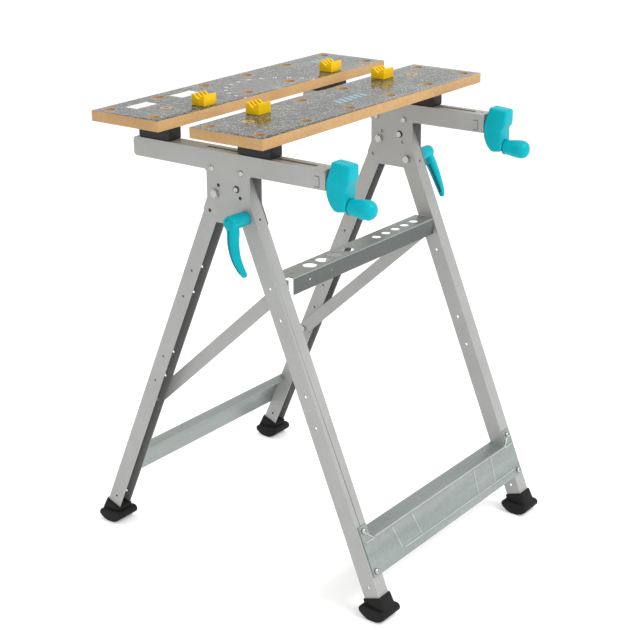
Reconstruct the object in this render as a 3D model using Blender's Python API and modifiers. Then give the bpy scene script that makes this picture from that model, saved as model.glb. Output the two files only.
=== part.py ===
"""Folding clamping workbench: two wooden jaws on a pair of sheet-steel A-frames.

Metres, +Z up. X runs along the jaws, the user stands on the -Y side, and the floor is z = 0.
The origin is on the floor under the middle of the bench.
"""

import math

import bmesh
import bpy
from mathutils import Matrix, Vector

GAP = 0.0003            # kept between pieces that touch
SHEET = 0.0015          # steel sheet of the beams, legs, plates and tray
SIDES = {"left": -1, "right": 1}

# Jaws
TOP_Z = 0.814
JAW_LENGTH = 0.645
JAW_WIDTH = 0.1485
JAW_THICKNESS = 0.018
REAR_JAW_Y = 0.1528
FRONT_JAW_Y = -0.0623
DOG_HOLE_R = 0.010
DOG_HOLE_X = [-0.300, -0.180, -0.060, 0.060, 0.180, 0.300]
DOG_ROW_Y = {"rear": [0.207, 0.106], "front": [-0.011, -0.112]}
DOG_X = 0.180           # the four dogs stand in the holes at +-DOG_X of each jaw's inner row
DOG_WIDTH = 0.0320
DOG_FRONT = 0.0167      # how far the block reaches forward and back from its peg
DOG_REAR = 0.0111
DOG_HEIGHT = 0.0196

# Beams, with the gusset plates drawn down from their side walls
FRAME_X = 0.238         # middle of each A-frame
BEAM_WIDTH = 0.032
BEAM_TOP = 0.7616
BEAM_BOTTOM = 0.7285
BEAM_FRONT = -0.204
BEAM_REAR = 0.1995
GUSSET_BOTTOM = 0.640
SLOT_FRONT = -0.178
SLOT_REAR = 0.048
SLOT_WIDTH = 0.008
SPINDLE_Z = 0.745
SPINDLE_R = 0.005
SPACER_LENGTH = 0.070
SPACER_WIDTH = 0.0316
REAR_SCREW_Y = 0.137
FRONT_SCREW_Y = -0.040

# Fasteners on the gusset, as (y, z)
LEVER_PIVOT = (-0.0428, 0.6575)
STOP_PIN = (-0.0247, 0.7025)
LEG_BOLT = (0.0210, 0.6884)
REAR_RIVET = (0.0273, 0.7310)
FRONT_RIVET = (-0.0341, 0.7307)
PLATE_HOLE_R = 0.0033
PLATE_HOLES = [(0.0134, 0.7040), (-0.0323, 0.6887), (0.0335, 0.6580)]
PIN_R = 0.004
LEG_BOLT_HEAD_R = 0.0078
STOP_PIN_HEAD_R = 0.0062
RIVET_HEAD_R = 0.0056

# Legs: C channels, square to their own length
LEG_WIDTH = 0.0284
LEG_DEPTH = 0.030
FRONT_LEAN = math.atan(0.408)
BACK_LEAN = math.atan(0.430)
BACK_LINE_Y = 0.3140    # where a back leg's centre line meets the floor
LEG_END_Z = 0.026       # height of a leg's lower end, inside its foot
FRONT_LEG_RISE = 0.064  # length of front leg above the lever pivot
BACK_TOP_Z = 0.706
LEG_HOLE_R = 0.0025
LEG_HOLES_Z = [0.543, 0.4925, 0.369, 0.3180, 0.054]
WEB_HOLE_Z = 0.654      # of the spare hole high in a front leg's web

# Feet
FOOT_LENGTH = 0.050
FOOT_Y = 0.3030
FOOT_SOLE_R = 0.034
COLLAR_WALL = 0.004
COLLAR_RISE = 0.0130

# Stay: two arms and the tool tray, hinged on the back legs and hooked on the front ones
STAY_PIVOT = (0.2020, 0.2670)
HOOK_PIN = (-0.0890, 0.5330)
ARM_WIDTH = 0.024
ARM_THICKNESS = 0.003
ARM_OUTER_X = 0.2215
TRAY_TOP = 0.554
TRAY_FRONT = -0.105
TRAY_REAR = -0.063
TRAY_HALF = 0.2210
TRAY_FLANGE_LEFT = -0.208
TRAY_LIP = 0.030
TRAY_REAR_LIP = 0.003
TRAY_HOLE_Y = -0.0845
BIG_TRAY_HOLES = [-0.137, -0.101, -0.065, -0.029]
SMALL_TRAY_HOLES = [0.062, 0.092, 0.122, 0.152, 0.182]
BIG_HOLE_R = 0.0125
SMALL_HOLE_R = 0.0085

# Cross plates
PLATE_HALF = 0.2480
PLATE_FLANGE_HALF = 0.2215
STEP_PLATE = {"low": 0.074, "fold": 0.133, "ear": 0.157, "flange": 0.031, "level": True,
              "screws": [0.1475, 0.0810]}
REAR_PLATE = {"low": 0.079, "fold": 0.148, "ear": 0.148, "flange": 0.015, "level": False,
              "screws": [0.0900]}

# Cranks and levers
CRANK_WIDTH = 0.032
KNOB_Z = 0.7055
KNOB_ROOT_Y = -0.2418
KNOB_LENGTH = 0.0471
KNOB_R = 0.0162
KNOB_DOME = 0.014
LEVER_TIP = (-0.0745, 0.5760)

PARTS = None
CUTTERS = None


def clear_scene():
    for obj in list(bpy.data.objects):
        bpy.data.objects.remove(obj, do_unlink=True)
    parts = bpy.data.collections.new("folding_workbench")
    cutters = bpy.data.collections.new("cutters")
    for collection in (parts, cutters):
        bpy.context.scene.collection.children.link(collection)
    return parts, cutters


def material(name, colour, roughness, metallic=0.0):
    made = bpy.data.materials.new(name)
    made.use_nodes = True
    shader = made.node_tree.nodes["Principled BSDF"]
    shader.inputs["Base Color"].default_value = (*colour, 1.0)
    shader.inputs["Roughness"].default_value = roughness
    shader.inputs["Metallic"].default_value = metallic
    return made


def finish(obj, look):
    """Gives the object its own copy of a material, named for the piece."""
    colour, roughness, metallic = look
    obj.data.materials.clear()
    obj.data.materials.append(material(obj.name + "_look", colour, roughness, metallic))
    return obj


PRINTED_BOARD = ((0.34, 0.34, 0.33), 0.25, 0.0)
BLACK_PLASTIC = ((0.02, 0.02, 0.02), 0.5, 0.0)
TEAL_PLASTIC = ((0.0, 0.42, 0.50), 0.35, 0.0)
YELLOW_PLASTIC = ((0.95, 0.66, 0.02), 0.4, 0.0)
PAINTED_STEEL = ((0.50, 0.51, 0.50), 0.4, 0.6)
GALVANISED = ((0.52, 0.57, 0.56), 0.35, 0.8)
ZINC = ((0.75, 0.75, 0.72), 0.25, 1.0)


def new_object(name, mesh, collection):
    obj = bpy.data.objects.new(name, mesh)
    collection.objects.link(obj)
    return obj


def as_cutter(obj):
    obj.hide_render = True
    obj.display_type = "WIRE"
    return obj


def mesh_from(name, build):
    """A mesh filled by build, a function that takes a bmesh."""
    shape = bmesh.new()
    build(shape)
    mesh = bpy.data.meshes.new(name)
    shape.to_mesh(mesh)
    shape.free()
    return mesh


def add_box(shape, low, high, frame=Matrix()):
    """A box between two corners of a frame."""
    low, high = Vector(low), Vector(high)
    size = Matrix.Diagonal((*(high - low), 1.0))
    place = frame @ Matrix.Translation((low + high) / 2) @ size
    bmesh.ops.create_cube(shape, size=1.0, matrix=place)


def add_rod(shape, start, end, radius, segments=12):
    """A capped cylinder between two points."""
    start, end = Vector(start), Vector(end)
    turn = (end - start).to_track_quat("Z", "Y").to_matrix().to_4x4()
    place = Matrix.Translation((start + end) / 2) @ turn
    bmesh.ops.create_cone(shape, cap_ends=True, segments=segments, radius1=radius,
                          radius2=radius, depth=(end - start).length, matrix=place)


def boxes(name, corners, collection, frame=Matrix()):
    def build(shape):
        for low, high in corners:
            add_box(shape, low, high, frame)
    return new_object(name, mesh_from(name, build), collection)


def rods(name, ends, collection, segments=12):
    """A piece or a cutter of separate cylinders, each given as (start, end, radius)."""
    def build(shape):
        for start, end, radius in ends:
            add_rod(shape, start, end, radius, segments)
    return new_object(name, mesh_from(name, build), collection)


def boolean(obj, other, operation="DIFFERENCE"):
    modifier = obj.modifiers.new(operation.lower(), "BOOLEAN")
    modifier.operation = operation
    modifier.solver = "EXACT"
    modifier.object = as_cutter(other)
    return obj


def bevel(obj, width, segments=2, angle=30):
    modifier = obj.modifiers.new("rounding", "BEVEL")
    modifier.width = width
    modifier.segments = segments
    modifier.limit_method = "ANGLE"
    modifier.angle_limit = math.radians(angle)
    return obj


def outline_solid(name, points, low_x, high_x, collection):
    """A closed (y, z) outline, extruded along X from low_x to high_x."""
    curve = bpy.data.curves.new(name, "CURVE")
    curve.dimensions = "2D"
    curve.fill_mode = "BOTH"
    curve.extrude = (high_x - low_x) / 2
    spline = curve.splines.new("POLY")
    spline.points.add(len(points) - 1)
    for place, (y, z) in zip(spline.points, points):
        place.co = (y, z, 0, 1)
    spline.use_cyclic_u = True
    drawn = new_object(name, curve, collection)
    # The drawing's x and y become world Y and Z, and its depth becomes world X.
    drawn.matrix_world = Matrix(((0, 0, 1, (low_x + high_x) / 2), (1, 0, 0, 0), (0, 1, 0, 0), (0, 0, 0, 1)))
    bpy.context.view_layer.update()
    evaluated = drawn.evaluated_get(bpy.context.evaluated_depsgraph_get())
    mesh = bpy.data.meshes.new_from_object(evaluated)
    shape = bmesh.new()
    shape.from_mesh(mesh)
    bmesh.ops.remove_doubles(shape, verts=shape.verts, dist=1e-5)
    bmesh.ops.recalc_face_normals(shape, faces=shape.faces)
    shape.to_mesh(mesh)
    shape.free()
    place = drawn.matrix_world.copy()
    bpy.data.objects.remove(drawn, do_unlink=True)
    solid = new_object(name, mesh, collection)
    solid.matrix_world = place
    return solid


def turned(name, profile, base, direction, collection, steps=8):
    """A (radius, distance) profile turned about the line from base along direction."""
    mesh = bpy.data.meshes.new(name)
    points = [(radius, 0, along) for radius, along in reversed(profile)]
    mesh.from_pydata(points, [(i, i + 1) for i in range(len(points) - 1)], [])
    obj = new_object(name, mesh, collection)
    turn = Vector(direction).to_track_quat("Z", "Y").to_matrix().to_4x4()
    obj.matrix_world = Matrix.Translation(base) @ turn
    screw = obj.modifiers.new("turned", "SCREW")
    screw.axis = "Z"
    screw.steps = steps
    screw.render_steps = steps
    screw.use_merge_vertices = True
    screw.merge_threshold = 0.00001
    screw.use_smooth_shade = False
    return obj


def round_off(obj):
    """Shades the round faces smooth and keeps the corners sharp."""
    if obj.data.polygons:
        obj.data.shade_smooth()
        obj.data.set_sharp_from_angle(angle=math.radians(35))
    return obj


def arc(centre, radius, start, end, steps):
    """Points on a circle, from one angle to another, in degrees."""
    turns = [math.radians(start + (end - start) * i / steps) for i in range(steps + 1)]
    return [(centre[0] + radius * math.cos(a), centre[1] + radius * math.sin(a)) for a in turns]


def fastener(name, place, grip, head_r=0.0065, shank_r=PIN_R, head=0.0042, nut=0.0042):
    """A bolt, pin or rivet along X: heads outside both ends of grip, an (x, x) pair."""
    start, end = grip
    length = abs(end - start)
    profile = [(0, -head), (head_r * 0.7, -head), (head_r, -head * 0.5), (head_r, 0),
               (shank_r, 0), (shank_r, length), (head_r, length), (head_r, length + nut),
               (0, length + nut)]
    direction = (math.copysign(1, end - start), 0, 0)
    return finish(turned(name, profile, (start, *place), direction, PARTS), ZINC)


# ---------------------------------------------------------------- frame body

def beam_outline():
    """Side view of a beam and its gusset plate, from the rear end round to it again."""
    corner = 0.006
    front_face = lambda z: -0.328 + 0.408 * z
    outline = arc((BEAM_REAR - corner, BEAM_BOTTOM + corner), corner, -90, 0, 3)
    outline += arc((BEAM_REAR - corner, BEAM_TOP - corner), corner, 0, 90, 3)
    outline += [(BEAM_FRONT, BEAM_TOP), (BEAM_FRONT, BEAM_BOTTOM), (-0.0560, BEAM_BOTTOM - 0.0006),
                (-0.0525, BEAM_BOTTOM - 0.004), (-0.0525, 0.676),
                (front_face(GUSSET_BOTTOM + 0.004), GUSSET_BOTTOM + 0.004),
                (front_face(GUSSET_BOTTOM) + 0.004, GUSSET_BOTTOM),
                (0.028, GUSSET_BOTTOM), (0.046, 0.650), (0.047, 0.660),
                (0.0385, 0.681), (0.0385, BEAM_BOTTOM - 0.0045), (0.0420, BEAM_BOTTOM - 0.0008)]
    return outline


def beam(side):
    sign = SIDES[side]
    middle = sign * FRAME_X
    half = BEAM_WIDTH / 2
    inner = half - SHEET
    obj = outline_solid(f"beam_{side}", beam_outline(), middle - half, middle + half, PARTS)
    inside = [((middle - inner, BEAM_FRONT + SHEET, 0.60),
               (middle + inner, BEAM_REAR - SHEET, BEAM_TOP - SHEET)),
              ((middle - SLOT_WIDTH / 2, SLOT_FRONT, BEAM_TOP - 0.005),
               (middle + SLOT_WIDTH / 2, SLOT_REAR, BEAM_TOP + 0.005))]
    boolean(obj, boxes(f"beam_{side}_channel", inside[:1], CUTTERS))
    boolean(obj, boxes(f"beam_{side}_slot", inside[1:], CUTTERS))
    across = lambda place, radius: ((middle - 0.03, *place), (middle + 0.03, *place), radius)
    holes = [across(place, PIN_R + GAP) for place in (LEVER_PIVOT, STOP_PIN, LEG_BOLT)]
    holes += [across(place, 0.0028) for place in (REAR_RIVET, FRONT_RIVET)]
    holes += [across(place, PLATE_HOLE_R) for place in PLATE_HOLES]
    holes.append(((middle, BEAM_FRONT - 0.01, SPINDLE_Z), (middle, BEAM_FRONT + 0.01, SPINDLE_Z),
                  SPINDLE_R + GAP))
    holes.append(((middle, REAR_SCREW_Y, BEAM_TOP - 0.005), (middle, REAR_SCREW_Y, BEAM_TOP + 0.005),
                  0.0026))
    boolean(obj, rods(f"beam_{side}_holes", holes, CUTTERS))
    return finish(obj, PAINTED_STEEL)


def jaw(name, middle_y, rows, screw_y):
    low = (-JAW_LENGTH / 2, middle_y - JAW_WIDTH / 2, TOP_Z - JAW_THICKNESS)
    high = (JAW_LENGTH / 2, middle_y + JAW_WIDTH / 2, TOP_Z)
    obj = boxes(name, [(low, high)], PARTS)
    down = lambda x, y, radius: ((x, y, TOP_Z - 0.03), (x, y, TOP_Z + 0.01), radius)
    holes = [down(x, y, DOG_HOLE_R) for x in DOG_HOLE_X for y in rows]
    boolean(obj, rods(f"{name}_dog_holes", holes, CUTTERS))
    screws = [down(sign * FRAME_X, screw_y, 0.0025) for sign in SIDES.values()]
    screws += [((sign * FRAME_X, screw_y, TOP_Z - 0.0035), (sign * FRAME_X, screw_y, TOP_Z + 0.01), 0.0053)
               for sign in SIDES.values()]
    for index in range(2):
        boolean(obj, rods(f"{name}_screw_holes_{index}", screws[2 * index:2 * index + 2], CUTTERS))
    return finish(obj, PRINTED_BOARD)


def spacer(name, side, middle_y, screw_y):
    x = SIDES[side] * FRAME_X
    low = (x - SPACER_WIDTH / 2, middle_y - SPACER_LENGTH / 2, BEAM_TOP + GAP)
    high = (x + SPACER_WIDTH / 2, middle_y + SPACER_LENGTH / 2, TOP_Z - JAW_THICKNESS - GAP)
    obj = bevel(boxes(name, [(low, high)], PARTS), 0.002, 1)
    hole = ((x, screw_y, BEAM_TOP - 0.01), (x, screw_y, TOP_Z), 0.0025)
    boolean(obj, rods(f"{name}_hole", [hole], CUTTERS))
    return finish(obj, BLACK_PLASTIC)


def jaw_screw(name, side, y, tip_z):
    """A countersunk screw, its head just below the jaw's top face."""
    head = 0.0030
    length = TOP_Z - GAP - tip_z
    profile = [(0, 0), (0.0022, 0), (0.0022, length - head), (0.0050, length - head + 0.0005),
               (0.0050, length), (0, length)]
    return finish(turned(name, profile, (SIDES[side] * FRAME_X, y, tip_z), (0, 0, 1), PARTS), ZINC)


def leg_frame(x, origin, lean):
    """Local Z runs up a leg and local -Y faces out of its web; lean is positive towards +Y."""
    return Matrix.Translation((x, *origin)) @ Matrix.Rotation(-lean, 4, "X")


def channel_leg(name, frame, low, high, web_side):
    """A C channel along the frame's Z, its web on the side that web_side gives."""
    half, depth = LEG_WIDTH / 2, LEG_DEPTH / 2
    outer = ((-half, -depth, low), (half, depth, high))
    if web_side < 0:
        hollow = ((-half + SHEET, -depth + SHEET, low - 0.01), (half - SHEET, depth + 0.01, high + 0.01))
    else:
        hollow = ((-half + SHEET, -depth - 0.01, low - 0.01), (half - SHEET, depth - SHEET, high + 0.01))
    obj = boxes(name, [outer], PARTS, frame)
    boolean(obj, boxes(f"{name}_hollow", [hollow], CUTTERS, frame))
    return obj


def back_line(z):
    return BACK_LINE_Y - z * math.tan(BACK_LEAN)


def front_line(z):
    return LEVER_PIVOT[0] - (LEVER_PIVOT[1] - z) * math.tan(FRONT_LEAN)


def inner_flange(side, place, radius):
    """A hole cutter through the inner flange of a leg only."""
    x = SIDES[side] * (FRAME_X - LEG_WIDTH / 2)
    return ((x - 0.006, *place), (x + 0.006, *place), radius)


def back_leg(side):
    x = SIDES[side] * FRAME_X
    frame = leg_frame(x, (back_line(LEG_END_Z), LEG_END_Z), -BACK_LEAN)
    length = (BACK_TOP_Z - LEG_END_Z) / math.cos(BACK_LEAN)
    obj = channel_leg(f"back_leg_{side}", frame, 0.0, length, 1)
    holes = [((x - 0.03, *LEG_BOLT), (x + 0.03, *LEG_BOLT), PIN_R + GAP),
             inner_flange(side, STAY_PIVOT, PIN_R + GAP)]
    boolean(obj, rods(f"back_leg_{side}_holes", holes, CUTTERS))
    punched(obj, x, back_line)
    screw_holes(obj, x, back_web, 1, REAR_PLATE["screws"])
    return finish(obj, PAINTED_STEEL)


def front_leg(side):
    x = SIDES[side] * FRAME_X
    frame = leg_frame(x, LEVER_PIVOT, FRONT_LEAN)
    low = -(LEVER_PIVOT[1] - LEG_END_Z) / math.cos(FRONT_LEAN)
    obj = channel_leg(f"front_leg_{side}", frame, low, FRONT_LEG_RISE, -1)
    reach = math.dist(LEVER_PIVOT, STOP_PIN)
    slack = PIN_R + 2 * GAP
    notch = ((-0.03, -slack, reach - slack - 0.0026), (0.03, LEG_DEPTH, reach + slack))
    boolean(obj, boxes(f"front_leg_{side}_notch", [notch], CUTTERS, frame))
    holes = [((x - 0.03, *LEVER_PIVOT), (x + 0.03, *LEVER_PIVOT), PIN_R + GAP),
             inner_flange(side, HOOK_PIN, PIN_R + GAP)]
    boolean(obj, rods(f"front_leg_{side}_holes", holes, CUTTERS))
    punched(obj, x, front_line)
    screw_holes(obj, x, front_web, -1, STEP_PLATE["screws"] + [WEB_HOLE_Z])
    return finish(obj, PAINTED_STEEL)


def front_web(z):
    return front_line(z) - LEG_DEPTH / 2 / math.cos(FRONT_LEAN)


def back_web(z):
    return back_line(z) + LEG_DEPTH / 2 / math.cos(BACK_LEAN)


def web_normal(facing):
    """Unit (y, z) vector out of the webs on one side of the bench."""
    lean = FRONT_LEAN if facing < 0 else BACK_LEAN
    return facing * math.cos(lean), math.sin(lean)


def punched(obj, x, line):
    """The row of spare holes through both flanges of a leg."""
    holes = [((x - 0.03, line(z), z), (x + 0.03, line(z), z), LEG_HOLE_R) for z in LEG_HOLES_Z]
    return boolean(obj, rods(f"{obj.name}_punched", holes, CUTTERS, 8))


def screw_holes(obj, x, web, facing, heights):
    """Small holes square to the web, such as those for the cross plate's screws."""
    ny, nz = web_normal(facing)
    holes = []
    for z in heights:
        y = web(z)
        holes.append(((x, y - 0.01 * ny, z - 0.01 * nz), (x, y + 0.01 * ny, z + 0.01 * nz), 0.0025))
    return boolean(obj, rods(f"{obj.name}_screw_holes", holes, CUTTERS))


def plate_screw(name, side, web, facing, z):
    """A round-headed screw through a cross plate and a leg's web."""
    ny, nz = web_normal(facing)
    out = SHEET + 2 * GAP
    profile = [(0, -0.009), (0.0022, -0.009), (0.0022, out), (0.0052, out),
               (0.0048, out + 0.0018), (0.0028, out + 0.0032), (0, out + 0.0034)]
    base = (SIDES[side] * FRAME_X, web(z), z)
    return finish(turned(name, profile, base, (0, ny, nz), PARTS), ZINC)


def cross_plate(name, web, facing, plate):
    """A pressed plate across one pair of legs, its top edge folded in over the gap between them."""
    lean = FRONT_LEAN if facing < 0 else BACK_LEAN
    frame = Matrix.Translation((0, web(plate["low"]), plate["low"])) @ Matrix.Rotation(facing * lean, 4, "X")
    fold = (plate["fold"] - plate["low"]) / math.cos(lean)
    ear = (plate["ear"] - plate["low"]) / math.cos(lean)
    near, far = sorted((facing * GAP, facing * (GAP + SHEET)))
    obj = boxes(name, [((-PLATE_HALF, near, 0), (PLATE_HALF, far, ear))], PARTS, frame)
    if ear > fold:
        between_ears = ((-0.2255, -0.01, fold), (0.2255, 0.01, ear + 0.01))
        boolean(obj, boxes(f"{name}_gap", [between_ears], CUTTERS, frame))
    back, front = sorted((facing * (GAP + SHEET / 2), -facing * plate["flange"]))
    flange = ((-PLATE_FLANGE_HALF, back, fold - SHEET), (PLATE_FLANGE_HALF, front, fold - 0.00005))
    about_fold = Matrix.Translation((0, 0, fold))
    level = about_fold @ Matrix.Rotation(-facing * lean, 4, "X") @ about_fold.inverted()
    turned_frame = frame @ level if plate["level"] else frame
    boolean(obj, boxes(f"{name}_flange", [flange], CUTTERS, turned_frame), "UNION")
    ny, nz = web_normal(facing)
    holes = []
    for z in plate["screws"]:
        for sign in SIDES.values():
            start = (sign * FRAME_X, web(z) - 0.01 * ny, z - 0.01 * nz)
            end = (sign * FRAME_X, web(z) + 0.01 * ny, z + 0.01 * nz)
            holes.append((start, end, 0.0025))
    boolean(obj, rods(f"{name}_holes", holes, CUTTERS))
    return finish(obj, GALVANISED)


def foot(name, side, facing):
    """A rocker foot: a crescent along X with a tilted collar round the leg's end."""
    x = SIDES[side] * FRAME_X
    out = facing
    lean = FRONT_LEAN if facing < 0 else BACK_LEAN
    line = front_line if facing < 0 else back_line
    middle = FOOT_Y * facing
    bend = FOOT_SOLE_R * math.sin(math.radians(80))
    sole = arc((0, bend), FOOT_SOLE_R, -136, -100, 4) + arc((0, bend), FOOT_SOLE_R, -80, -46, 4)
    crown = [(0.0264, 0.0118), (0.0280, 0.0160), (0.0258, 0.0212), (0.0205, 0.0240),
             (-0.0190, 0.0212), (-0.0238, 0.0188), (-0.0255, 0.0150), (-0.0252, 0.0118)]
    outline = [(middle + out * -y, z) for y, z in sole]
    outline += [(middle + out * -y, z) for y, z in crown]
    obj = outline_solid(name, outline, x - FOOT_LENGTH / 2, x + FOOT_LENGTH / 2, PARTS)
    bevel(obj, 0.002, 1, 60)
    frame = leg_frame(x, (line(LEG_END_Z), LEG_END_Z), -facing * lean)
    half, depth = LEG_WIDTH / 2 + COLLAR_WALL, LEG_DEPTH / 2 + COLLAR_WALL
    collar = ((-half, -depth, -0.014), (half, depth, COLLAR_RISE))
    boolean(obj, boxes(f"{name}_collar", [collar], CUTTERS, frame), "UNION")
    half, depth = LEG_WIDTH / 2 + GAP, LEG_DEPTH / 2 + GAP
    pocket = ((-half, -depth, -GAP), (half, depth, COLLAR_RISE + 0.05))
    boolean(obj, boxes(f"{name}_pocket", [pocket], CUTTERS, frame))
    return finish(obj, BLACK_PLASTIC)


# ---------------------------------------------------------------- stay body

def stay_arm(side):
    """A flat bar from the stay pivot up under the tray, with a hook slot open at the bottom."""
    inner = SIDES[side] * (ARM_OUTER_X - ARM_THICKNESS)
    low_x, high_x = sorted((inner, SIDES[side] * ARM_OUTER_X))
    pivot, hook = Vector(STAY_PIVOT), Vector(HOOK_PIN)
    along = (hook - pivot).normalized()
    up = Vector((along.y, -along.x))
    half = ARM_WIDTH / 2
    slope = math.degrees(math.atan2(along.y, along.x))
    end_y, end_z = TRAY_FRONT + SHEET + GAP, TRAY_TOP - SHEET - GAP
    lower = pivot - up * half
    upper = pivot + up * half
    low_corner = (end_y, lower.y + (end_y - lower.x) / along.x * along.y)
    top_corner = (upper.x + (end_z - upper.y) / along.y * along.x, end_z)
    outline = arc(STAY_PIVOT, half, slope + 90, slope + 270, 6)
    outline += [top_corner, (end_y, end_z), low_corner]
    obj = outline_solid(f"stay_arm_{side}", outline, low_x, high_x, PARTS)
    slack = PIN_R + 2 * GAP
    middle = (low_x + high_x) / 2
    # The pin swings 0.9 mm towards the user as it drops out, so the slot is wider on that side.
    slot = ((middle - 0.01, HOOK_PIN[0] - slack - 0.0011, HOOK_PIN[1] - 0.04),
            (middle + 0.01, HOOK_PIN[0] + slack, HOOK_PIN[1]))
    boolean(obj, boxes(f"stay_arm_{side}_slot", [slot], CUTTERS))
    holes = [((middle - 0.01, *STAY_PIVOT), (middle + 0.01, *STAY_PIVOT), PIN_R + GAP),
             ((middle - 0.01, *HOOK_PIN), (middle + 0.01, *HOOK_PIN), slack)]
    boolean(obj, rods(f"stay_arm_{side}_holes", holes, CUTTERS, 16))
    return finish(obj, PAINTED_STEEL)


def tool_tray():
    """A folded channel across the stay, its top full of tool holes."""
    top = ((-TRAY_HALF, TRAY_FRONT, TRAY_TOP - TRAY_LIP), (TRAY_HALF, TRAY_REAR, TRAY_TOP))
    obj = boxes("tool_tray", [top], PARTS)
    under = ((-0.3, TRAY_FRONT + SHEET, 0.4), (0.3, TRAY_REAR - SHEET, TRAY_TOP - SHEET))
    boolean(obj, boxes("tool_tray_under", [under], CUTTERS))
    rear_trim = ((-0.3, TRAY_REAR - SHEET * 2, 0.4), (0.3, TRAY_REAR + 0.01, TRAY_TOP - TRAY_REAR_LIP))
    boolean(obj, boxes("tool_tray_rear_trim", [rear_trim], CUTTERS))
    left_trim = ((-0.3, TRAY_FRONT - 0.01, 0.4), (TRAY_FLANGE_LEFT, TRAY_FRONT + 0.012, TRAY_TOP + 0.01))
    boolean(obj, boxes("tool_tray_left_trim", [left_trim], CUTTERS))
    down = lambda x, radius: ((x, TRAY_HOLE_Y, TRAY_TOP - 0.01), (x, TRAY_HOLE_Y, TRAY_TOP + 0.01), radius)
    holes = [down(x, BIG_HOLE_R) for x in BIG_TRAY_HOLES]
    holes += [down(x, SMALL_HOLE_R) for x in SMALL_TRAY_HOLES]
    boolean(obj, rods("tool_tray_holes", holes, CUTTERS))
    return finish(obj, GALVANISED)


# ---------------------------------------------------------------- clamp bodies

def jaw_nut(side):
    """The nut that the spindle drives, with a neck up through the beam's slot."""
    x = SIDES[side] * FRAME_X
    low_y, high_y = FRONT_JAW_Y - 0.010, FRONT_SCREW_Y + 0.008
    block = ((x - 0.012, low_y, 0.7362), (x + 0.012, high_y, BEAM_TOP - SHEET - GAP))
    neck = ((x - 0.0036, low_y, 0.755), (x + 0.0036, high_y, BEAM_TOP))
    obj = boxes(f"jaw_nut_{side}", [block], PARTS)
    boolean(obj, boxes(f"jaw_nut_{side}_neck", [neck], CUTTERS), "UNION")
    bore = ((x, low_y - 0.01, SPINDLE_Z), (x, high_y + 0.01, SPINDLE_Z), SPINDLE_R + GAP)
    boolean(obj, rods(f"jaw_nut_{side}_bore", [bore], CUTTERS, 16))
    hole = ((x, FRONT_SCREW_Y, 0.7525), (x, FRONT_SCREW_Y, 0.78), 0.0025)
    boolean(obj, rods(f"jaw_nut_{side}_hole", [hole], CUTTERS))
    return finish(obj, ZINC)


def spindle(side):
    x = SIDES[side] * FRAME_X
    profile = [(0, 0), (SPINDLE_R - 0.001, 0), (SPINDLE_R, 0.001), (SPINDLE_R, 0.305),
               (SPINDLE_R - 0.001, 0.306), (0, 0.306)]
    return finish(turned(f"spindle_{side}", profile, (x, -0.236, SPINDLE_Z), (0, 1, 0), PARTS, 16), ZINC)


def crank(side):
    """A crank's body: full at its back, and stepped in at its front where the knob stands."""
    x = SIDES[side] * FRAME_X
    outline = [(-0.2490, 0.7735), (-0.2475, 0.7500), (-0.2415, 0.7405), (-0.2415, 0.6993), (-0.2250, 0.6968),
               (-0.2150, 0.7020), (-0.2085, 0.7100), (-0.2043, 0.7240), (-0.2043, 0.7415), (-0.2095, 0.7600),
               (-0.2130, 0.7765)]
    half = CRANK_WIDTH / 2
    obj = outline_solid(f"crank_{side}", outline, x - half, x + half, PARTS)
    bevel(obj, 0.006, 2, 40)
    socket = ((x, -0.2365, SPINDLE_Z), (x, -0.19, SPINDLE_Z), SPINDLE_R + GAP)
    boolean(obj, rods(f"crank_{side}_socket", [socket], CUTTERS, 16))
    return finish(obj, TEAL_PLASTIC)


def knob(side):
    x = SIDES[side] * FRAME_X
    profile = [(0, 0), (0.0127, 0), (0.0132, 0.001), (0.0153, 0.016)]
    for step in range(6):
        turn = math.radians(90 * step / 5)
        profile.append((KNOB_R * math.cos(turn), KNOB_LENGTH - KNOB_DOME + KNOB_DOME * math.sin(turn)))
    profile[-1] = (0, KNOB_LENGTH)
    root = (x, KNOB_ROOT_Y, KNOB_Z)
    return finish(turned(f"crank_knob_{side}", profile, root, (0, -1, 0), PARTS, 16), TEAL_PLASTIC)


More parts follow.
